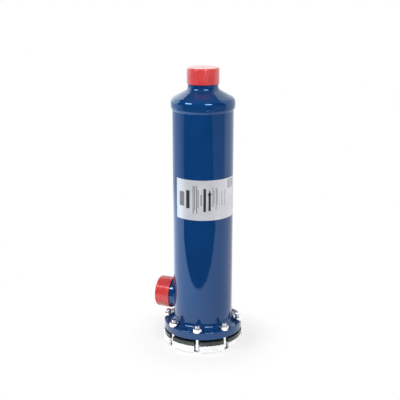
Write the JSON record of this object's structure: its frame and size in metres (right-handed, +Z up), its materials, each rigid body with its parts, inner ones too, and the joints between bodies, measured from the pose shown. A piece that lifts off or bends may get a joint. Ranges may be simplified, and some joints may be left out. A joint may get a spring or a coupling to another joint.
{
  "type": "filter drier shell",
  "caption": "Upright steel filter drier shell with replaceable cores: side inlet, top outlet, both capped, and a bolted cover below.",
  "frame": {"origin": "on the shell's axis, in the plane of the cover bolts' head faces, which it stands on", "axes": "+Z up along the shell's axis, out of the outlet; -X out of the side inlet"},
  "size_m": [0.178, 0.163, 0.5705],
  "materials": {
    "shell_paint": "gloss blue enamel",
    "zinc_steel": "bright zinc plate",
    "cover_steel": "dark phosphate coat",
    "inner_steel": "plain sheet steel",
    "plug_steel": "plain turned steel",
    "red_plastic": "satin moulded plastic",
    "label_film": "printed film",
    "gasket_fibre": "pressed fibre sheet",
    "core_block": "bonded desiccant beads",
    "felt": "pressed felt"
  },
  "bodies": {
    "shell": {"shell_tube": "shell_paint", "shell_flange": "shell_paint", "flange_weld": "shell_paint", "dome_end": "shell_paint", "dome_weld": "shell_paint", "outlet_connection": "shell_paint", "outlet_weld": "shell_paint", "inlet_connection": "shell_paint", "inlet_weld": "shell_paint", "backing_flange": "zinc_steel", "cover_bolts": "zinc_steel", "cover_nuts": "zinc_steel", "tie_rods": "zinc_steel", "tie_rod_nuts": "zinc_steel", "wing_nuts": "zinc_steel", "cover_plate": "cover_steel", "core_spring": "inner_steel", "spring_plate": "inner_steel", "core_plate_1": "inner_steel", "core_plate_2": "inner_steel", "outlet_plate": "inner_steel", "centre_strainer": "inner_steel", "access_plug": "plug_steel", "flow_label": "label_film", "cover_gasket": "gasket_fibre", "desiccant_core_1": "core_block", "desiccant_core_2": "core_block", "desiccant_core_3": "core_block", "core_gasket_1": "felt", "core_gasket_2": "felt", "core_gasket_3": "felt", "core_gasket_4": "felt", "core_gasket_5": "felt", "core_gasket_6": "felt"},
    "outlet_cap": {"outlet_cap": "red_plastic"},
    "inlet_cap": {"inlet_cap": "red_plastic"}
  },
  "joints": [
    {"name": "outlet_cap_pull", "type": "slide", "parent": "shell", "child": "outlet_cap", "axis": [0, 0, 1], "range_m": [0, 0.1]},
    {"name": "inlet_cap_pull", "type": "slide", "parent": "shell", "child": "inlet_cap", "axis": [-1, 0, 0], "range_m": [0, 0.1]}
  ]
}
